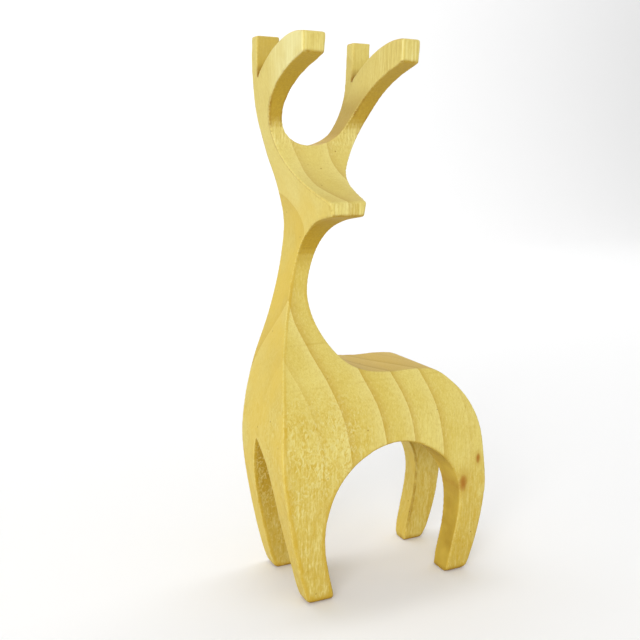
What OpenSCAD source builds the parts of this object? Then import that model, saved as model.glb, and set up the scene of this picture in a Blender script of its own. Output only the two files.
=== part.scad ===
// Deer figure sawn from one block of timber: the side outline and the end
// outline are each cut right through the block, and what is left of both is
// the deer. The carving is divided on flat planes into its anatomical pieces.
// X runs along the body from the chest to the rump, Y across it to the far
// side (the head looks towards -Y), Z is up from the soles.

/* [Block] */
// Height of the figure, from the soles to the back tines' tops
height = 300; // [240:10:360]
// Length of the body, from the chest to the rump
length = 128; // [110:2:146]
// Width of the block, from the muzzle and tine ends to the far side
width = 66.8; // [56:0.2:76]

/* [Divisions] */
// Height of the flat face between each leg and the trunk
leg_top = 82; // [76:1:83]
// Height of the flat face between the trunk and the neck
trunk_top = 126; // [122:1:132]
// Height of the flat face between the neck and the head
neck_top = 186; // [180:1:190]
// Height of the flat face between the head and each antler
head_top = 247; // [244:1:252]

/* [Notch] */
// Width of the saw slot at the foot of the notch between two tines
saw_slot = 1.2; // [0.8:0.1:2]
// Height of the notch's foot
notch_floor = 279; // [276:1:284]

/* [Curves] */
// Longest flat along a curve
flat_length = 4; // [2:0.5:8]

/* [Hidden] */

// Outlines are drawn for a figure 300 high, 128 long and 66.8 wide.
nominal_height = 300;
nominal_length = 128;
nominal_width = 66.8;
side_scale = [length / nominal_length, height / nominal_height];
end_scale = [width / nominal_width, height / nominal_height];

pale_wood = "#e3cc7c";
golden_wood = "#d9be68";
warm_wood = "#cfb05c";

// The side outline, as [x, z], in the stretches between its corners.
chest_edge = [
    [-49.8, 2], [-54, 18], [-59.4, 44], [-63.2, 69], [-64, 85], [-61.7, 105], [-56.9, 125],
    [-47.2, 152], [-40.8, 177], [-37.8, 201], [-41, 219.5], [-48.3, 241.5],
    [-53.5, 262], [-55.2, 281], [-55.5, 300]
];
antler_gap = [
    [-42, 300], [-43, 287], [-44.5, 275], [-45, 259], [-42.4, 250], [-36.5, 244.8], [-27, 243.3],
    [-18, 245.2], [-10, 250], [-4, 259.2], [0, 271], [1.4, 285], [1.5, 300]
];
head_edge = [
    [13, 300], [12.3, 287], [10.7, 275], [8.2, 263.5], [3, 252], [-5.8, 237.8], [-14.6, 225.2],
    [-17.6, 216.5]
];
neck_edge = [
    [-19.2, 207.5], [-24, 201.5], [-27.3, 190.5], [-30.7, 176.5], [-32.8, 162.5], [-31.1, 149.6],
    [-26, 136.8], [-18, 127.2], [-7, 122.4], [8, 120.8]
];
rump_edge = [
    [8, 120.8], [25, 120.8], [36, 119], [45.3, 111.6], [53.2, 101], [58.7, 88.5], [61.8, 72],
    [64, 52], [63, 38], [59.2, 20], [53.3, 2]
];
belly_arch = [
    [38.3, 0], [41.8, 16], [45.3, 33], [46.2, 47], [43.2, 59.5], [35, 70.8], [20, 80.8], [5, 84.2],
    [-10, 81.2], [-23, 73.4], [-32.8, 61], [-38.1, 45], [-38.8, 30], [-36.6, 16], [-33, 0]
];

// The end outline, as [y, z], with the near side at -y.
far_side = [
    [33.4, 300], [33, 268], [32, 225], [31, 165], [31.2, 110], [31.4, 70], [31.4, 25], [30.4, 2.5]
];
leg_slot = [
    [18, -1], [17.9, 23], [18.4, 46], [16, 64], [11, 80.8], [9, 84.6], [3, 81],
    [-5, 73.6], [-10.5, 61], [-13.5, 45], [-16.5, 25], [-16.8, -1]
];
near_side = [
    [-29, 2], [-29.1, 36], [-29.5, 63], [-28.9, 85], [-25.2, 103], [-16.5, 119.3], [-5, 135.2],
    [4.5, 149.7], [9.5, 164.6], [10.7, 174.6], [7.7, 188.5], [0, 197.4], [-12.5, 204], [-35, 207.9]
];
face_edge = [
    [-35, 213.6], [-16.5, 219.2], [-2.5, 225.1], [8, 232.3], [14.5, 240.8], [17.3, 250], [15.4, 258.4],
    [9.6, 266.8], [0.4, 273.6], [-13, 279.6], [-35, 285.5]
];
tine_top = [
    [-35, 294.6], [-22, 296], [-10, 294.9], [1.5, 291.6], [11.7, 287.2], [19, 283.1]
];

// The wall of the notch that is the back tine's face.
notch_y = 25.4;
// Share of the saw slot's width that each of its bottom corners takes.
slot_corner = 0.25;
// Bevel between the soles and the sides.
sole_corner = 2;
// Width of the slot between the hind legs, as a share of the front one's.
hind_slot_width = 0.94;

// Plane that trims the muzzle and the front tines: a corner it passes through, as [x, y],
// and the degrees it is turned from X.
trim_corner = [-55.5, -33.4];
trim_turn = 4.5;

// Reach of the cutting boxes beyond the block.
reach = 400;

// Planes that divide the carving: between the front and hind legs, the two antlers,
// the left and right legs, the front and back tines, and then upwards from the legs.
body_middle = 5 * side_scale[0];
antler_middle = -27 * side_scale[0];
slot_middle = 7.6 * end_scale[0];
notch_plane = (notch_y - saw_slot / 2) * end_scale[0];
leg_plane = leg_top * side_scale[1];
trunk_plane = trunk_top * side_scale[1];
neck_plane = neck_top * side_scale[1];
head_plane = head_top * side_scale[1];

// Point at fraction f from b to c, on a centripetal Catmull-Rom curve.
function curve_point(a, b, c, d, f) =
    let (
        t1 = sqrt(norm(b - a)),
        t2 = t1 + sqrt(norm(c - b)),
        t3 = t2 + sqrt(norm(d - c)),
        t = t1 + f * (t2 - t1),
        ab = ((t1 - t) * a + t * b) / t1,
        bc = ((t2 - t) * b + (t - t1) * c) / (t2 - t1),
        cd = ((t3 - t) * c + (t - t2) * d) / (t3 - t2),
        abc = ((t2 - t) * ab + t * bc) / t2,
        bcd = ((t3 - t) * bc + (t - t1) * cd) / (t3 - t1)
    )
    ((t2 - t) * abc + (t - t1) * bcd) / (t2 - t1);

// Smooth curve through the points, broken into flats.
function smooth(pts) =
    let (
        last = len(pts) - 1,
        before = 2 * pts[0] - pts[1],
        after = 2 * pts[last] - pts[last - 1],
        all = concat([before], pts, [after])
    )
    concat(
        [
            for (i = [1 : last])
                let (n = max(1, ceil(norm(all[i + 1] - all[i]) / flat_length)))
                for (k = [0 : n - 1])
                    curve_point(all[i - 1], all[i], all[i + 1], all[i + 2], k / n)
        ],
        [pts[last]]
    );

function without_first(pts) = [for (i = [1 : len(pts) - 1]) pts[i]];
function last_of(pts) = pts[len(pts) - 1];

side_outline = concat(
    smooth(chest_edge), smooth(antler_gap), smooth(head_edge), smooth(neck_edge),
    without_first(smooth(rump_edge)), [[last_of(rump_edge)[0] - sole_corner, 0]],
    smooth(belly_arch), [[chest_edge[0][0] + sole_corner, 0]]
);

end_outline = concat(
    smooth(far_side), [[last_of(far_side)[0] - sole_corner, 0]],
    [[near_side[0][0] + sole_corner, 0]], smooth(near_side), smooth(face_edge), smooth(tine_top),
    [
        [notch_y - saw_slot, notch_floor + saw_slot],
        [notch_y - saw_slot + slot_corner * saw_slot, notch_floor],
        [notch_y - slot_corner * saw_slot, notch_floor],
        [notch_y, notch_floor + saw_slot],
        [notch_y, nominal_height]
    ]
);

// The side outline, swept across the block.
module side_cut() {
    rotate([90, 0, 0])
        linear_extrude(height = 2 * width, center = true)
            scale(side_scale)
                polygon(side_outline);
}

// The end outline, swept along the block.
module end_cut() {
    rotate([90, 0, 90])
        linear_extrude(height = 2 * length, center = true)
            scale(end_scale)
                polygon(end_outline);
}

// The stock behind the plane that trims the muzzle and the front tines.
module trimmed_stock() {
    translate([trim_corner[0] * side_scale[0], trim_corner[1] * end_scale[0], -reach])
        rotate([0, 0, trim_turn])
            translate([-reach, 0, 0])
                cube([2 * reach, 2 * reach, 2 * reach]);
}

// The slot between the left and right legs, swept towards the chest.
module front_slot() {
    translate([body_middle, 0, 0])
        rotate([90, 0, -90])
            mirror([1, 0, 0])
                linear_extrude(height = reach)
                    scale(end_scale)
                        polygon(smooth(leg_slot));
}

// The same slot between the hind legs, narrower because the near hind leg is thicker.
module hind_slot() {
    translate([body_middle, 0, 0])
        rotate([90, 0, 90])
            linear_extrude(height = reach)
                scale(end_scale)
                    translate([leg_slot[0][0], 0])
                        scale([hind_slot_width, 1])
                            translate([-leg_slot[0][0], 0])
                                polygon(smooth(leg_slot));
}

// The part of the carving between two corners.
module carved(low, high) {
    difference() {
        intersection() {
            side_cut();
            end_cut();
            translate(low)
                cube(high - low);
        }
        front_slot();
        hind_slot();
    }
}

module trunk() {
    color(golden_wood)
        carved([-reach, -reach, leg_plane], [reach, reach, trunk_plane]);
}

module neck() {
    color(golden_wood)
        carved([-reach, -reach, trunk_plane], [reach, reach, neck_plane]);
}

module head() {
    color(pale_wood)
        intersection() {
            carved([-reach, -reach, neck_plane], [reach, reach, head_plane]);
            trimmed_stock();
        }
}

// Curved tine that reaches forward over the face.
module front_tine(low_x, high_x) {
    color(pale_wood)
        intersection() {
            carved([low_x, -reach, head_plane], [high_x, notch_plane, reach]);
            trimmed_stock();
        }
}

// Upright tine in line with the back of the head.
module back_tine(low_x, high_x) {
    color(golden_wood)
        carved([low_x, notch_plane, head_plane], [high_x, reach, reach]);
}

// The animal's left is the near side, and its head is turned to that side.
module antler_right_front_tine() front_tine(-reach, antler_middle);
module antler_right_back_tine() back_tine(-reach, antler_middle);
module antler_left_front_tine() front_tine(antler_middle, reach);
module antler_left_back_tine() back_tine(antler_middle, reach);

module leg(low_x, high_x, low_y, high_y) {
    color(warm_wood)
        carved([low_x, low_y, -reach], [high_x, high_y, leg_plane]);
}

module leg_front_left() leg(-reach, body_middle, -reach, slot_middle);
module leg_front_right() leg(-reach, body_middle, slot_middle, reach);
module leg_hind_left() leg(body_middle, reach, -reach, slot_middle);
module leg_hind_right() leg(body_middle, reach, slot_middle, reach);

trunk();
neck();
head();
antler_right_front_tine();
antler_right_back_tine();
antler_left_front_tine();
antler_left_back_tine();
leg_front_left();
leg_front_right();
leg_hind_left();
leg_hind_right();
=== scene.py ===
"""The looks of a deer figure sawn from one block of pale, coarse, fast-grown timber.

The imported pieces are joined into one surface, its edges are eased as by sanding, and it is
divided again on the same planes, so that the grain and the edges run on from piece to piece.
"""

import math

import bmesh
import bpy
import numpy as np
from mathutils import Matrix, Vector


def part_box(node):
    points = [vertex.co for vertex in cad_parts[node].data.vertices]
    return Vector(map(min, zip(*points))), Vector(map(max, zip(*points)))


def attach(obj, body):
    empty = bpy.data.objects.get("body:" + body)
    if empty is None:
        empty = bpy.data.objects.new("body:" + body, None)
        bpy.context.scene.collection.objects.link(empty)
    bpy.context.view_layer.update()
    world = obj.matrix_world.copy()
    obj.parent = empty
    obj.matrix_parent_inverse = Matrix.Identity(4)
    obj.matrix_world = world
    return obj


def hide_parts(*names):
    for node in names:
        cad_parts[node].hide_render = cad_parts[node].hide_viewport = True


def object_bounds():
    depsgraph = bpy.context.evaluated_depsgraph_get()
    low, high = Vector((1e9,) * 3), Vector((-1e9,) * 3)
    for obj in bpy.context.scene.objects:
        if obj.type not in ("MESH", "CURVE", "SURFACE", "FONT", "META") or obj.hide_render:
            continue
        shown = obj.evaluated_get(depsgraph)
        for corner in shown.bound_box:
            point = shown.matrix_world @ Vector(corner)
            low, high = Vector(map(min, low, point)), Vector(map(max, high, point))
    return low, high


MM = 0.001

# The grid that the surface is remade on, and the rounds of smoothing that ease its edges. In
# each round a point moves halfway to the average of its neighbours.
VOXEL = 0.48 * MM
EASING_ROUNDS = 8
HALFWAY = 0.5

# Extra smoothing of the feet, and a smaller share of it at the muzzle and the tine ends.
TIP_ROUNDS = 36
TINE_SHARE = 0.4
TIP_DEPTH = 9 * MM
TIP_FADE = 4 * MM
FOOT_HEIGHT = 7 * MM

# The rounds of averaging that give a point's surroundings, how far the point stands out from
# them on a full edge, and the rounds that blur the result.
EDGE_ROUNDS = 9
EDGE_HEIGHT = 0.25 * MM
EDGE_BLUR_ROUNDS = 2

# Points closer than this are one point.
WELD = 0.004 * MM

# How far beyond a node's box its part of the surface is taken, before it is cut.
LEG_MARGIN = 3 * MM
MARGIN = 10 * MM

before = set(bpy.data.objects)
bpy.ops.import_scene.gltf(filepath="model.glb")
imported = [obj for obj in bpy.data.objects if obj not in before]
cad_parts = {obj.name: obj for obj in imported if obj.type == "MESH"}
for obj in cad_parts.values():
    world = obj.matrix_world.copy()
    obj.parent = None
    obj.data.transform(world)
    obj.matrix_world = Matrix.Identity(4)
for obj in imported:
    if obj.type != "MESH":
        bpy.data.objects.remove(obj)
cad_low, cad_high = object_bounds()


# --- The planes that divide the carving ---------------------------------------------------

def low(node):
    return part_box(node)[0]


def high(node):
    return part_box(node)[1]


LEG_Z = high("leg_front_left").z
TRUNK_Z = high("trunk").z
NECK_Z = high("neck").z
HEAD_Z = high("head").z
NOTCH_Y = low("antler_left_back_tine").y
ALONG = {"x": 0, "y": 1, "z": 2}

# Each piece's cuts, as the axis, the place and the side that is kept.
CUTS = {
    "trunk": [("z", LEG_Z, 1), ("z", TRUNK_Z, -1)],
    "neck": [("z", TRUNK_Z, 1), ("z", NECK_Z, -1)],
    "head": [("z", NECK_Z, 1), ("z", HEAD_Z, -1)],
    "antler_right_front_tine": [("z", HEAD_Z, 1), ("y", NOTCH_Y, -1)],
    "antler_right_back_tine": [("z", HEAD_Z, 1), ("y", NOTCH_Y, 1)],
    "antler_left_front_tine": [("z", HEAD_Z, 1), ("y", NOTCH_Y, -1)],
    "antler_left_back_tine": [("z", HEAD_Z, 1), ("y", NOTCH_Y, 1)],
    "leg_front_left": [("z", LEG_Z, -1)],
    "leg_front_right": [("z", LEG_Z, -1)],
    "leg_hind_left": [("z", LEG_Z, -1)],
    "leg_hind_right": [("z", LEG_Z, -1)],
}


# --- The carving as one surface -----------------------------------------------------------

def joined_carving():
    """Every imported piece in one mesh, without the flat faces where two of them meet."""
    bm = bmesh.new()
    for node in CUTS:
        bm.from_mesh(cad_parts[node].data)
    bmesh.ops.remove_doubles(bm, verts=bm.verts, dist=WELD)

    def on_plane(face, axis, place):
        return all(abs(v.co[ALONG[axis]] - place) < WELD for v in face.verts)

    planes = [("z", z) for z in (LEG_Z, TRUNK_Z, NECK_Z, HEAD_Z)] + [("y", NOTCH_Y)]
    inside = [f for f in bm.faces if any(on_plane(f, a, p) for a, p in planes)]
    bmesh.ops.delete(bm, geom=inside, context="FACES")
    mesh = bpy.data.meshes.new("carving")
    bm.to_mesh(mesh)
    bm.free()
    return mesh


def eased(mesh):
    """The surface as a fine even grid, with its sharp edges eased."""
    shell = bpy.data.objects.new("shell", mesh)
    bpy.context.scene.collection.objects.link(shell)
    remesh = shell.modifiers.new("grid", "REMESH")
    remesh.mode = "VOXEL"
    remesh.voxel_size = VOXEL
    smooth = shell.modifiers.new("ease", "SMOOTH")
    smooth.factor = HALFWAY
    smooth.iterations = EASING_ROUNDS
    depsgraph = bpy.context.evaluated_depsgraph_get()
    result = bpy.data.meshes.new_from_object(shell.evaluated_get(depsgraph))
    bpy.data.objects.remove(shell)
    return result


def points(mesh, kind="co"):
    """The mesh's points, or their normals, one to a row."""
    values = np.empty(len(mesh.vertices) * 3, np.float32)
    mesh.vertices.foreach_get(kind, values)
    return values.reshape(-1, 3)


def moved(mesh, co):
    """The mesh with its points moved to the given places."""
    mesh.vertices.foreach_set("co", co.astype(np.float32).ravel())
    mesh.update()
    return mesh


def kept_inside(mesh):
    """Keeps every point in the CAD box, with the soles on the floor."""
    return moved(mesh, np.clip(points(mesh), np.array(cad_low), np.array(cad_high)))


def averaging(mesh):
    """A function that replaces each point's value by the average of its neighbours'."""
    count = len(mesh.vertices)
    pair = np.empty(len(mesh.edges) * 2, np.int32)
    mesh.edges.foreach_get("vertices", pair)
    start, end = pair.reshape(-1, 2).T
    links = np.bincount(start, minlength=count) + np.bincount(end, minlength=count)

    def around(values):
        total = np.bincount(start, values[end], count) + np.bincount(end, values[start], count)
        return total / links

    return around


def worn_tips(mesh):
    """Rounds the feet and the ends of the muzzle and the tines more than the other edges."""
    co = points(mesh).astype(float)
    around = averaging(mesh)
    foot = np.clip((FOOT_HEIGHT - co[:, 2]) / TIP_FADE, 0, 1)
    front = np.clip((cad_low.y + TIP_DEPTH - co[:, 1]) / TIP_FADE, 0, 1)
    top = np.clip((co[:, 2] - cad_high.z + TIP_DEPTH) / TIP_FADE, 0, 1)
    amount = HALFWAY * np.maximum(foot, TINE_SHARE * np.maximum(front, top))
    for _ in range(TIP_ROUNDS):
        for k in range(3):
            co[:, k] += amount * (around(co[:, k]) - co[:, k])
    return moved(mesh, co)


def marked_edges(mesh):
    """Stores how far each point stands out from its surroundings: 1 on an edge, -1 in a corner."""
    co = points(mesh).astype(float)
    around = averaging(mesh)
    mean = co
    for _ in range(EDGE_ROUNDS):
        mean = np.stack([around(mean[:, k]) for k in range(3)], 1)
    stands = ((co - mean) * points(mesh, "normal")).sum(1)
    for _ in range(EDGE_BLUR_ROUNDS):
        stands = around(stands)
    value = np.clip(stands / EDGE_HEIGHT, -1, 1).astype(np.float32)
    mesh.attributes.new("edge", "FLOAT", "POINT").data.foreach_set("value", value)
    return mesh


# --- The pieces ---------------------------------------------------------------------------

def nearby(mesh, node):
    """A bmesh of the part of the surface in the node's box, with a margin."""
    co = points(mesh)
    margin = LEG_MARGIN if node.startswith("leg") else MARGIN
    node_low, node_high = (np.array(c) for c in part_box(node))
    inside = ((co > node_low - margin) & (co < node_high + margin)).all(1)
    corners = np.empty(len(mesh.polygons) * 4, np.int32)
    mesh.polygons.foreach_get("vertices", corners)
    corners = corners.reshape(-1, 4)
    corners = corners[inside[corners].all(1)]
    used, renumbered = np.unique(corners, return_inverse=True)
    part = bpy.data.meshes.new("part")
    part.from_pydata(co[used].tolist(), [], renumbered.reshape(-1, 4).tolist())
    sharp = np.empty(len(mesh.vertices), np.float32)
    mesh.attributes["edge"].data.foreach_get("value", sharp)
    part.attributes.new("edge", "FLOAT", "POINT").data.foreach_set("value", sharp[used])
    bm = bmesh.new()
    bm.from_mesh(part)
    bpy.data.meshes.remove(part)
    return bm


def piece(mesh, node, material):
    """One closed piece of the surface, cut on its node's planes."""
    bm = nearby(mesh, node)
    for axis, place, side in CUTS[node]:
        normal = Vector((0, 0, 0))
        normal[ALONG[axis]] = 1
        bmesh.ops.bisect_plane(
            bm, geom=[*bm.verts, *bm.edges, *bm.faces], dist=WELD,
            plane_co=normal * place, plane_no=normal,
            clear_outer=side < 0, clear_inner=side > 0,
        )
        rim = [
            e for e in bm.edges
            if e.is_boundary and all(abs(v.co[ALONG[axis]] - place) < 2 * WELD for v in e.verts)
        ]
        filled = bmesh.ops.triangle_fill(bm, edges=rim, use_beauty=True, normal=normal)
        caps = [g for g in filled["geom"] if isinstance(g, bmesh.types.BMFace)]
        for e in rim:
            e.smooth = False
        for f in caps:
            f.smooth = False
            f.tag = True
    stray = [v for v in bm.verts if not v.link_faces]
    bmesh.ops.delete(bm, geom=stray, context="VERTS")
    bmesh.ops.recalc_face_normals(bm, faces=bm.faces)
    for f in bm.faces:
        f.smooth = not f.tag
    result = bpy.data.meshes.new(node)
    bm.to_mesh(result)
    bm.free()
    result.materials.append(material)
    made = bpy.data.objects.new("carved_" + node, result)
    bpy.context.scene.collection.objects.link(made)
    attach(made, "root")
    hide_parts(node)


# --- The wood -----------------------------------------------------------------------------

class Nodes:
    """Short names for the nodes of one material."""

    def __init__(self, material):
        self.tree = material.node_tree
        self.tree.nodes.clear()

    def add(self, kind, **settings):
        node = self.tree.nodes.new(kind)
        for name, value in settings.items():
            setattr(node, name, value)
        return node

    def put(self, value, socket):
        if isinstance(value, bpy.types.NodeSocket):
            self.tree.links.new(value, socket)
        else:
            socket.default_value = value

    def math(self, operation, a, b=0.0, c=0.0):
        node = self.add("ShaderNodeMath", operation=operation)
        for value, socket in zip((a, b, c), node.inputs):
            self.put(value, socket)
        return node.outputs[0]

    def product(self, first, *others):
        for other in others:
            first = self.math("MULTIPLY", first, other)
        return first

    def parts(self, vector):
        node = self.add("ShaderNodeSeparateXYZ")
        self.put(vector, node.inputs[0])
        return node.outputs[0], node.outputs[1], node.outputs[2]

    def white(self, value):
        """A chance number from 0 to 1 for each whole value."""
        node = self.add("ShaderNodeTexWhiteNoise", noise_dimensions="1D")
        self.put(value, node.inputs["W"])
        return node.outputs["Value"]

    def span(self, value, from_low, from_high, to_low=0.0, to_high=1.0):
        """The value's place between two others, as a number from to_low to to_high."""
        node = self.add("ShaderNodeMapRange", clamp=True)
        self.put(value, node.inputs["Value"])
        node.inputs["From Min"].default_value = from_low
        node.inputs["From Max"].default_value = from_high
        node.inputs["To Min"].default_value = to_low
        node.inputs["To Max"].default_value = to_high
        return node.outputs["Result"]

    def near(self, value, place, outer, inner):
        """1 within inner of the place, and 0 beyond outer."""
        away = self.math("ABSOLUTE", self.math("SUBTRACT", value, place))
        return self.span(away, outer, inner)

    def mix(self, factor, a, b, blend="MIX"):
        node = self.add("ShaderNodeMix", data_type="RGBA", blend_type=blend)
        self.put(factor, node.inputs[0])
        self.put(a, node.inputs[6])
        self.put(b, node.inputs[7])
        return node.outputs[2]

    def ramp(self, value, stops):
        """A number that runs straight from each stop's to the next one's."""
        node = self.add("ShaderNodeValToRGB")
        while len(node.color_ramp.elements) < len(stops):
            node.color_ramp.elements.new(0.5)
        for element, (place, number) in zip(node.color_ramp.elements, stops):
            element.position = place
            element.color = (number, number, number, 1)
        self.put(value, node.inputs[0])
        return node.outputs[0]


def linear(r, g, b):
    """A colour given in everyday 0 to 255 values, as linear light."""
    return tuple(
        c / 12.92 if c <= 0.04045 else ((c + 0.055) / 1.055) ** 2.4 for c in (r / 255, g / 255, b / 255)
    ) + (1.0,)


PALE = linear(228, 209, 122)
GOLDEN = linear(216, 191, 94)
WARM = linear(196, 160, 66)
CREAM = linear(238, 224, 152)
WHITISH = linear(243, 235, 178)
OCHRE = linear(190, 156, 58)
BROWN = linear(150, 104, 24)
TAN = linear(206, 164, 64)
FLECK = linear(204, 166, 46)
HONEY = linear(226, 194, 82)
SHANK = linear(198, 162, 52)
STRAW = linear(232, 222, 158)
MUSTARD = linear(192, 156, 38)
UMBER = linear(160, 121, 20)
KNOT = linear(168, 104, 22)
FINISH = (0.915, 0.93, 0.85, 1.0)

# From here on, places on the wood are in millimetres in the figure's own frame.

# Where each growth ring starts, across the rings, and how strongly its line shows.
RINGS = {
    -130: 0.4, -104: 0.4, -84: 0.4, -64: 0.35, -47: 0.9, -24.8: 1.0, -6.8: 1.0,
    11.1: 0.85, 29: 0.35, 44: 0.5, 57: 0.6, 69: 0.5, 80: 0.6, 90: 0.5,
}

# The rings' slope across the block at the soles, how it falls with height, and their lean.
RING_SLOPE = 0.865
RING_SLOPE_FALL = -0.00262
RING_LEAN = -0.04

# The heights between which the rings grow fainter, up the antlers.
FAINT_RINGS = (264, 250)

# The knots' centres, half widths and half heights. They show on the near side of KNOT_Y.
KNOTS = [(48.0, 54.0, 2.3, 4.4), (57.7, 67.6, 1.2, 2.6)]
KNOT_Y = -12.0

# Heights of the level saw lines on the near side, how strong each is, and their slope.
SAW_STOPS = [(138.0, 0.32), (117.5, 0.22)]
SAW_STOP_SLOPE = 0.012

# The saw slot at the foot of each antler's notch, and the back tines' wall of the notch.
SAW_SLOT = 1.2
NOTCH_WALL = NOTCH_Y / MM + SAW_SLOT / 2
SAW_SLOT_Y = 24.9
SAW_SLOT_FOOT = 279

# The belly arch's middle and half width, and the slot between the left and right legs.
ARCH_X = 4
ARCH_HALF = 43.8
SLOT_REACH = 19
SLOT_WALL = 18


class Wood(Nodes):
    """The timber, in which one feature after another is painted over self.color."""

    def __init__(self, material):
        super().__init__(material)
        millimetres = self.add("ShaderNodeVectorMath", operation="SCALE")
        self.put(self.add("ShaderNodeTexCoord").outputs["Object"], millimetres.inputs[0])
        millimetres.inputs["Scale"].default_value = 1 / MM
        self.mm = millimetres.outputs[0]
        self.x, self.y, self.z = self.parts(self.mm)
        normal = self.add("ShaderNodeNewGeometry").outputs["Normal"]
        self.nx, self.ny, self.nz = self.parts(normal)
        self.edge = self.add("ShaderNodeAttribute", attribute_name="edge").outputs["Fac"]
        self.color = GOLDEN

    def noise(self, scale, detail=3.0, rough=0.5, distortion=0.0, stretch=None):
        """A cloudy number; scale is per millimetre, and a stretch under 1 draws it out."""
        vector = self.mm
        if stretch:
            mapping = self.add("ShaderNodeMapping")
            self.put(vector, mapping.inputs["Vector"])
            mapping.inputs["Scale"].default_value = stretch
            vector = mapping.outputs[0]
        node = self.add("ShaderNodeTexNoise")
        self.put(vector, node.inputs["Vector"])
        node.inputs["Scale"].default_value = scale
        node.inputs["Detail"].default_value = detail
        node.inputs["Roughness"].default_value = rough
        node.inputs["Distortion"].default_value = distortion
        return node.outputs["Fac"]

    def patches(self, scale, low, high, least, most, detail=3.0):
        """A cloudy amount from least to most."""
        return self.span(self.noise(scale, detail), low, high, least, most)

    def paint(self, color, *amounts):
        """Lays a colour over the others, as thickly as the product of the amounts."""
        self.color = self.mix(self.product(*amounts), self.color, color)

    def knot_shapes(self):
        """Knots: branches that ran out through the near hind leg."""
        uneven = self.math("SUBTRACT", self.noise(0.35), 0.5)
        near_side = self.math("LESS_THAN", self.y, KNOT_Y)
        self.knot = 0.0
        self.halo = 0.0
        for knot_x, knot_z, wide, tall in KNOTS:
            dx = self.math("DIVIDE", self.math("SUBTRACT", self.x, knot_x), wide)
            dz = self.math("DIVIDE", self.math("SUBTRACT", self.z, knot_z), tall)
            away = self.math("ADD", self.product(dx, dx), self.product(dz, dz))
            away = self.math("ADD", away, uneven)
            core = self.product(self.span(away, 1.7, 0.0), near_side)
            around = self.product(self.span(away, 6.0, 1.0), near_side)
            self.knot = self.math("MAXIMUM", self.knot, core)
            self.halo = self.math("MAXIMUM", self.halo, around)

    def ring_place(self):
        """How far across the rings a point lies; they are nearly flat sheets at a slant."""
        slope = self.math("MULTIPLY_ADD", self.z, RING_SLOPE_FALL, RING_SLOPE)
        place = self.math("ADD", self.x, self.product(self.y, slope))
        place = self.math("MULTIPLY_ADD", self.z, RING_LEAN, place)
        wander = self.math("MULTIPLY_ADD", self.noise(0.02, 2), 3.0, -1.5)
        place = self.math("ADD", place, wander)
        place = self.math("MULTIPLY_ADD", self.halo, -3.0, place)
        bend = self.product(
            self.span(self.z, 184, 196), self.span(self.z, 252, 234),
            self.span(self.x, -20, -36), self.span(self.y, -9, 32, 0, -6.8),
        )
        return self.math("ADD", place, bend)

    def rings(self):
        """Each ring is darkest just after it starts and palest before the next one."""
        starts = list(RINGS)
        first, last = starts[0], starts[-1]
        along = self.span(self.ring_place(), first, last)
        places = [(start - first) / (last - first) for start in starts]
        share = [(place, i / len(starts)) for i, place in enumerate(places)]
        number = self.product(self.ramp(along, share), len(starts))
        strength = self.ramp(along, list(zip(places, RINGS.values())))
        strength = self.product(strength, self.span(self.z, *FAINT_RINGS, 0.3, 1.0))
        inner = self.math("FRACT", number)
        self.dark = self.product(self.math("POWER", self.span(inner, 0.45, 0.0), 2.4), strength)
        light = self.product(self.math("POWER", self.span(inner, 0.35, 1.0), 2.0), strength)
        chance = self.white(self.math("ADD", self.math("FLOOR", number), 7.0))
        step = self.span(self.z, *FAINT_RINGS, 0.08, 0.35)
        tone = self.math("MULTIPLY_ADD", chance, step, self.noise(0.045, 4, 0.55))
        self.paint(PALE, self.span(tone, 0.40, 0.95))
        self.paint(WARM, self.dark, 0.85)
        self.paint(CREAM, light, 0.55)

    def lower_legs(self):
        """The legs are deeper in colour low down, most of all the near ones."""
        height = self.span(self.z, 78, 20)
        side = self.span(self.y, 14, 20, 1.0, 0.35)
        self.paint(SHANK, height, self.patches(0.06, 0.30, 0.62, 0.45, 1.0), side, 0.85)

    def figure(self):
        """Curls on the near shoulder and front leg, upright flecks lower down, grit all over."""
        self.curl = self.noise(0.52, 2, 0.55, 1.4, stretch=(1.0, 1.0, 0.55))
        shoulder = self.product(
            self.span(self.x, -8, -24), self.span(self.z, 118, 98), self.span(self.z, 40, 66)
        )
        curled = self.math("MULTIPLY_ADD", shoulder, 0.66, 0.08)
        patchy = self.span(self.noise(0.16, 3, 0.6), 0.36, 0.58, 0.25, 1.0)
        self.paint(FLECK, self.span(self.curl, 0.50, 0.62), curled, patchy)
        self.paint(STRAW, self.span(self.curl, 0.48, 0.34), curled, patchy)
        fleck = self.noise(0.62, 3, 0.62, 0.8, stretch=(1.0, 1.0, 0.22))
        flecked = self.math("MULTIPLY_ADD", self.span(self.z, 74, 44), 0.58, 0.05)
        fewer_behind = self.span(self.x, 0, 20, 1.0, 0.45)
        self.paint(FLECK, self.span(fleck, 0.49, 0.64), flecked)
        self.paint(CREAM, self.span(fleck, 0.47, 0.34), flecked, fewer_behind)
        grit = self.noise(0.85, 3, 0.75, 0.4, stretch=(1.0, 1.0, 0.55))
        self.paint(OCHRE, self.span(grit, 0.52, 0.70, 0.0, 0.30))
        self.paint(CREAM, self.span(grit, 0.46, 0.32, 0.0, 0.30))

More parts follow.
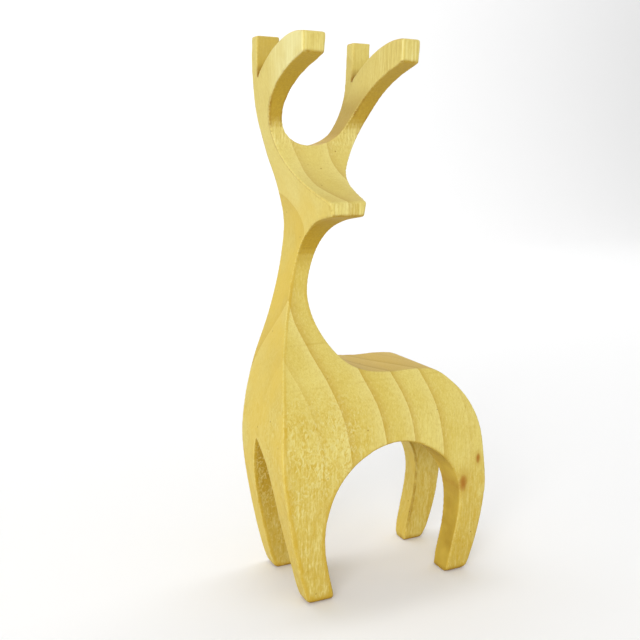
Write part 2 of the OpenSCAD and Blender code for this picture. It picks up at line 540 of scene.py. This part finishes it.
    def grain(self):
        """Fine upright grain, in streaks on the muzzle's end and along the front tines."""
        self.fine = self.noise(1.9, 4, 0.68, stretch=(1, 1, 0.09))
        streak = self.noise(1.15, 4, 0.75, stretch=(1, 1, 0.025))
        self.tines = self.product(self.span(self.y, 12, -12), self.span(self.z, 252, 266))
        muzzle = self.product(self.span(self.ny, -0.6, -0.9), self.span(self.z, 198, 202))
        self.at_notch_wall = self.near(self.y, NOTCH_WALL, 1.4, 0.8)
        shaded = self.product(self.at_notch_wall, self.span(self.z, 276, 280))
        on_end = self.math("MAXIMUM", self.tines, muzzle)
        on_end = self.product(on_end, self.math("SUBTRACT", 1.0, shaded))
        upright = self.span(self.math("ABSOLUTE", self.nz), 0.6, 0.25)
        streaky = self.product(self.math("MULTIPLY_ADD", on_end, 0.45, 0.12), upright)
        self.paint(OCHRE, self.span(self.fine, 0.47, 0.68, 0.0, 0.30))
        self.paint(OCHRE, self.span(streak, 0.51, 0.62), streaky)
        self.paint(WHITISH, self.span(streak, 0.50, 0.36), streaky)
        self.pore = self.span(self.noise(2.8, 2, 0.7, stretch=(1, 1, 0.2)), 0.64, 0.74)
        self.paint(BROWN, self.pore, 0.40)

    def pale_top(self):
        """The head and the antlers are paler."""
        self.paint(CREAM, self.span(self.z, 200, 232, 0.0, 0.24))

    def level_cuts(self):
        """Faces that look up cut the fibres' ends, and are deeper in colour, with darker rings; their
        deeper colour is partly end grain and partly painted shade on the tops.
        """
        across = self.span(self.math("ABSOLUTE", self.ny), 0.35, 0.10)
        # Painted shade in part: the tan on upward faces stands for end grain and for the lesser light on
        # the tops.
        self.paint(TAN, self.span(self.nz, 0.15, 0.8, 0.0, 0.62), across)
        self.paint(OCHRE, self.dark, across, self.span(self.nz, 0.3, 0.9, 0.0, 0.7))

    def hollows(self):
        """Undersides, the leg slot, the arch and the notch are painted dark: painted shade, with some of
        the unsanded wood's own deeper tone.
        """
        under = self.product(self.span(self.nz, -0.02, -0.40), self.span(self.nx, -0.85, -0.55))
        slot = self.product(
            self.span(self.z, 92, 80),
            self.math("LESS_THAN", self.math("ABSOLUTE", self.y), SLOT_REACH),
            self.span(self.math("ABSOLUTE", self.nx), 0.7, 0.4),
            self.span(self.x, 30, -10, 0.10, 1.0), self.span(self.z, 22, 62, 0.50, 1.0),
        )
        arch = self.product(
            self.span(self.z, 88, 80), self.span(self.y, 4, -6),
            self.near(self.x, ARCH_X, ARCH_HALF, ARCH_HALF - 1.8),
            self.span(self.math("ABSOLUTE", self.ny), 0.6, 0.3),
        )
        notch = self.product(
            self.span(self.z, 272, 276), self.at_notch_wall, self.span(self.ny, -0.4, -0.8),
            self.math(
                "ADD", self.span(self.z, 290, 280, 0.0, 0.25), self.span(self.x, -20, -30, 0.0, 0.55)
            ),
        )
        self.hollow = self.math(
            "MAXIMUM", self.math("MAXIMUM", under, slot), self.math("MAXIMUM", arch, notch)
        )
        self.mottle = self.noise(0.8, 4, 0.7, 0.6, stretch=(1, 1, 0.6))
        mottled_shade = self.mix(self.span(self.mottle, 0.25, 0.85), MUSTARD, UMBER)
        # Painted shade: the hollows in mottled mustard and umber.
        self.paint(mottled_shade, self.hollow, 0.85)
        self.paint(CREAM, slot, self.span(self.x, -20, -34), self.span(self.curl, 0.50, 0.36), 0.42)
        # Painted shade: the near side of the belly arch darker towards the bottom.
        self.paint(UMBER, arch, self.span(self.z, 60, 22), 0.80)

    def saw_slot(self):
        """The saw slots are brown at the foot, and the left antler's wall of the gap is painted dark as
        shade.
        """
        self.paint(
            BROWN, self.span(self.z, 286, 280), self.near(self.y, SAW_SLOT_Y, 1.6, 0.9),
            self.span(self.z, SAW_SLOT_FOOT - 0.8, SAW_SLOT_FOOT), 0.85,
        )
        # Painted shade on the left antler's wall of the gap.
        self.paint(
            UMBER, self.span(self.nx, -0.2, -0.6), self.span(self.x, -18, -10),
            self.span(self.z, 276, 264), self.span(self.z, 238, 244), 0.45,
        )

    def darker_lower_edges(self):
        """The lower edges of the head and the tines are darker brown in patches."""
        self.paint(
            BROWN, self.span(self.edge, 0.15, 0.5), self.span(self.nz, -0.08, -0.25),
            self.span(self.nz, -0.90, -0.70), self.span(self.z, 190, 210),
            self.patches(0.2, 0.35, 0.60, 0.1, 0.55),
        )

    def chest_side(self):
        """The right front tine's chest side is painted paler as light falling on it, and the chest side
        is honey-coloured lower down.
        """
        # Painted light on the chest side of the right front tine.
        self.paint(
            WHITISH, self.tines, self.span(self.x, -24, -34), self.span(self.nx, -0.40, -0.75),
            self.patches(0.08, 0.30, 0.55, 0.30, 0.60, detail=2),
        )
        self.paint(
            HONEY, self.span(self.nx, -0.70, -0.90), self.span(self.z, 250, 200),
            self.patches(0.05, 0.35, 0.60, 0.25, 0.70),
        )

    def knots(self):
        """The knots are red-brown, each with a warm halo."""
        self.paint(WARM, self.halo, 0.55)
        self.paint(KNOT, self.knot, 0.95)

    def saw_stops(self):
        """Faint level lines across the near side, where the saw was stopped."""
        broken = self.span(self.noise(0.09, 2), 0.35, 0.6)
        for level, strength in SAW_STOPS:
            line = self.math("MULTIPLY_ADD", self.x, SAW_STOP_SLOPE, level)
            self.paint(
                OCHRE, self.near(self.z, line, 0.7, 0.1), self.span(self.ny, -0.3, -0.6), broken, strength
            )

    def edges(self):
        """Sanded edges are paler, partly from wear and partly as painted highlight; corners are painted
        dark as shade; and a line runs down the chest's near edge.
        """
        # Worn edges, together with a painted highlight.
        self.paint(CREAM, self.span(self.edge, 0.45, 0.95), self.patches(0.9, 0.40, 0.62, 0.0, 0.25))
        # Painted shade in the concave corners.
        self.paint(UMBER, self.span(self.edge, -0.25, -0.9, 0.0, 0.6))
        self.paint(
            FLECK, self.span(self.edge, 0.06, 0.25), self.span(self.ny, -0.70, -0.90),
            self.span(self.x, -30, -36), self.span(self.z, 186, 170), 0.55,
        )

    def check(self):
        """A check, a fine split, runs down the corner of the far hind leg."""
        self.paint(
            UMBER, self.span(self.edge, 0.35, 0.6), self.near(self.y, SLOT_WALL, 3.5, 2.0),
            self.span(self.x, 36, 38), self.span(self.x, 50, 48),
            self.span(self.z, 6, 10), self.span(self.z, 78, 70),
            self.patches(0.25, 0.3, 0.5, 0.10, 0.55),
        )

    def darker_soles_and_dots(self):
        """The feet are darker brown at the soles, and a dark dot marks a pore here and there."""
        self.paint(BROWN, self.span(self.z, 3.2, 0.3), self.patches(0.5, 0.35, 0.60, 0.25, 0.85))
        dots = self.add("ShaderNodeTexVoronoi", voronoi_dimensions="3D")
        self.put(self.mm, dots.inputs["Vector"])
        dots.inputs["Scale"].default_value = 0.16
        chosen = self.span(self.parts(dots.outputs["Color"])[0], 0.70, 0.76)
        self.paint(BROWN, self.span(dots.outputs["Distance"], 0.10, 0.04), chosen, 0.7)

    def surface(self):
        """Dull and slightly uneven, with fine saw ridges in the hollows."""
        shader = self.add("ShaderNodeBsdfPrincipled")
        self.put(self.mix(1.0, self.color, FINISH, "MULTIPLY"), shader.inputs["Base Color"])
        rough = self.span(self.fine, 0.3, 0.7, 0.46, 0.62)
        rough = self.math("ADD", rough, self.product(self.hollow, 0.15))
        self.put(rough, shader.inputs["Roughness"])
        shader.inputs["Specular IOR Level"].default_value = 0.18
        uneven = self.product(self.mottle, 5.0)
        ridges = self.math("SINE", self.math("MULTIPLY_ADD", self.z, 3.2, uneven))
        height = self.math("MULTIPLY_ADD", self.fine, 0.5, self.product(self.pore, -0.6))
        height = self.math("ADD", height, self.product(ridges, self.hollow, 0.12))
        bump = self.add("ShaderNodeBump")
        bump.inputs["Strength"].default_value = 0.5
        bump.inputs["Distance"].default_value = 0.18 * MM
        self.put(height, bump.inputs["Height"])
        self.put(bump.outputs[0], shader.inputs["Normal"])
        output = self.add("ShaderNodeOutputMaterial")
        self.put(shader.outputs[0], output.inputs["Surface"])


def pale_wood():
    """The one material, with its features in the order in which they lie over one another."""
    material = bpy.data.materials.new("pale_wood")
    material.use_nodes = True
    wood = Wood(material)
    wood.knot_shapes()
    wood.rings()
    wood.lower_legs()
    wood.figure()
    wood.grain()
    wood.pale_top()
    wood.level_cuts()
    wood.hollows()
    wood.saw_slot()
    wood.darker_lower_edges()
    wood.chest_side()
    wood.knots()
    wood.saw_stops()
    wood.edges()
    wood.check()
    wood.darker_soles_and_dots()
    wood.surface()
    return material


# --- The studio ---------------------------------------------------------------------------

FLOOR_FRONT = -3.0
FLOOR_DEPTH = 1.6
FLOOR_HALF_WIDTH = 3.0
FLOOR_TURN_RADIUS = 0.8
FLOOR_TURN_STEPS = 24
BACKDROP_HEIGHT = 3.0


def floor():
    """A pale sheet that curves up into the backdrop."""
    profile = [(FLOOR_FRONT, 0.0), (FLOOR_DEPTH, 0.0)]
    for i in range(1, FLOOR_TURN_STEPS + 1):
        a = math.pi / 2 * i / FLOOR_TURN_STEPS
        profile.append((
            FLOOR_DEPTH + FLOOR_TURN_RADIUS * math.sin(a),
            FLOOR_TURN_RADIUS * (1 - math.cos(a)),
        ))
    profile.append((FLOOR_DEPTH + FLOOR_TURN_RADIUS, BACKDROP_HEIGHT))
    bm = bmesh.new()
    rows = [[bm.verts.new((s * FLOOR_HALF_WIDTH, y, z)) for y, z in profile] for s in (-1, 1)]
    for i in range(len(profile) - 1):
        bm.faces.new((rows[0][i], rows[1][i], rows[1][i + 1], rows[0][i + 1]))
    mesh = bpy.data.meshes.new("floor")
    bm.to_mesh(mesh)
    bm.free()
    for p in mesh.polygons:
        p.use_smooth = True
    made = bpy.data.objects.new("floor", mesh)
    bpy.context.scene.collection.objects.link(made)
    material = bpy.data.materials.new("floor")
    material.use_nodes = True
    shader = material.node_tree.nodes["Principled BSDF"]
    shader.inputs["Base Color"].default_value = (0.93, 0.93, 0.93, 1)
    shader.inputs["Roughness"].default_value = 0.9
    mesh.materials.append(material)


def softbox(name, place, aim, size, power):
    """A rectangular lamp at one place, turned to another."""
    light = bpy.data.lights.new(name, "AREA")
    light.shape = "RECTANGLE"
    light.size, light.size_y = size
    light.energy = power
    lamp = bpy.data.objects.new(name, light)
    lamp.location = place
    lamp.rotation_euler = (Vector(aim) - Vector(place)).to_track_quat("-Z", "Y").to_euler()
    bpy.context.scene.collection.objects.link(lamp)


def surroundings(strength):
    """Even white light from all round."""
    world = bpy.data.worlds.new("studio")
    bpy.context.scene.world = world
    world.use_nodes = True
    background = world.node_tree.nodes["Background"]
    background.inputs["Color"].default_value = (1, 1, 1, 1)
    background.inputs["Strength"].default_value = strength


CAMERA_PLACE = (-0.2222, -0.4043, 0.2324)
CAMERA_TURN = math.radians(-25.478)
CAMERA_PITCH = math.radians(10.442)
CAMERA_ROLL = math.radians(0.335)
SENSOR_WIDTH = 36
LENS = 46.997


def camera():
    """A camera off the near front corner, level with the head and looking a little down."""
    ahead = Vector((
        -math.sin(CAMERA_TURN) * math.cos(CAMERA_PITCH),
        math.cos(CAMERA_TURN) * math.cos(CAMERA_PITCH),
        -math.sin(CAMERA_PITCH),
    ))
    data = bpy.data.cameras.new("camera")
    data.sensor_width = SENSOR_WIDTH
    data.lens = LENS
    made = bpy.data.objects.new("camera", data)
    made.location = CAMERA_PLACE
    level = ahead.to_track_quat("-Z", "Y").to_matrix()
    made.rotation_euler = (level @ Matrix.Rotation(CAMERA_ROLL, 3, "Z")).to_euler()
    bpy.context.scene.collection.objects.link(made)
    bpy.context.scene.camera = made


camera()
floor()
bpy.context.scene.view_settings.view_transform = "Standard"
surroundings(0.58)

# The key light stands off the near front corner, and the other one lights the backdrop.
softbox("key", (-0.95, -1.15, 0.65), (0, 0, 0.15), (0.9, 0.9), 14)
softbox("backdrop_light", (0.4, 0.6, 2.2), (0.6, 2.3, 0.7), (3.0, 1.0), 34)

carving = marked_edges(kept_inside(worn_tips(eased(joined_carving()))))
timber = pale_wood()
for name in CUTS:
    piece(carving, name, timber)
bpy.data.meshes.remove(carving)

bpy.context.view_layer.update()
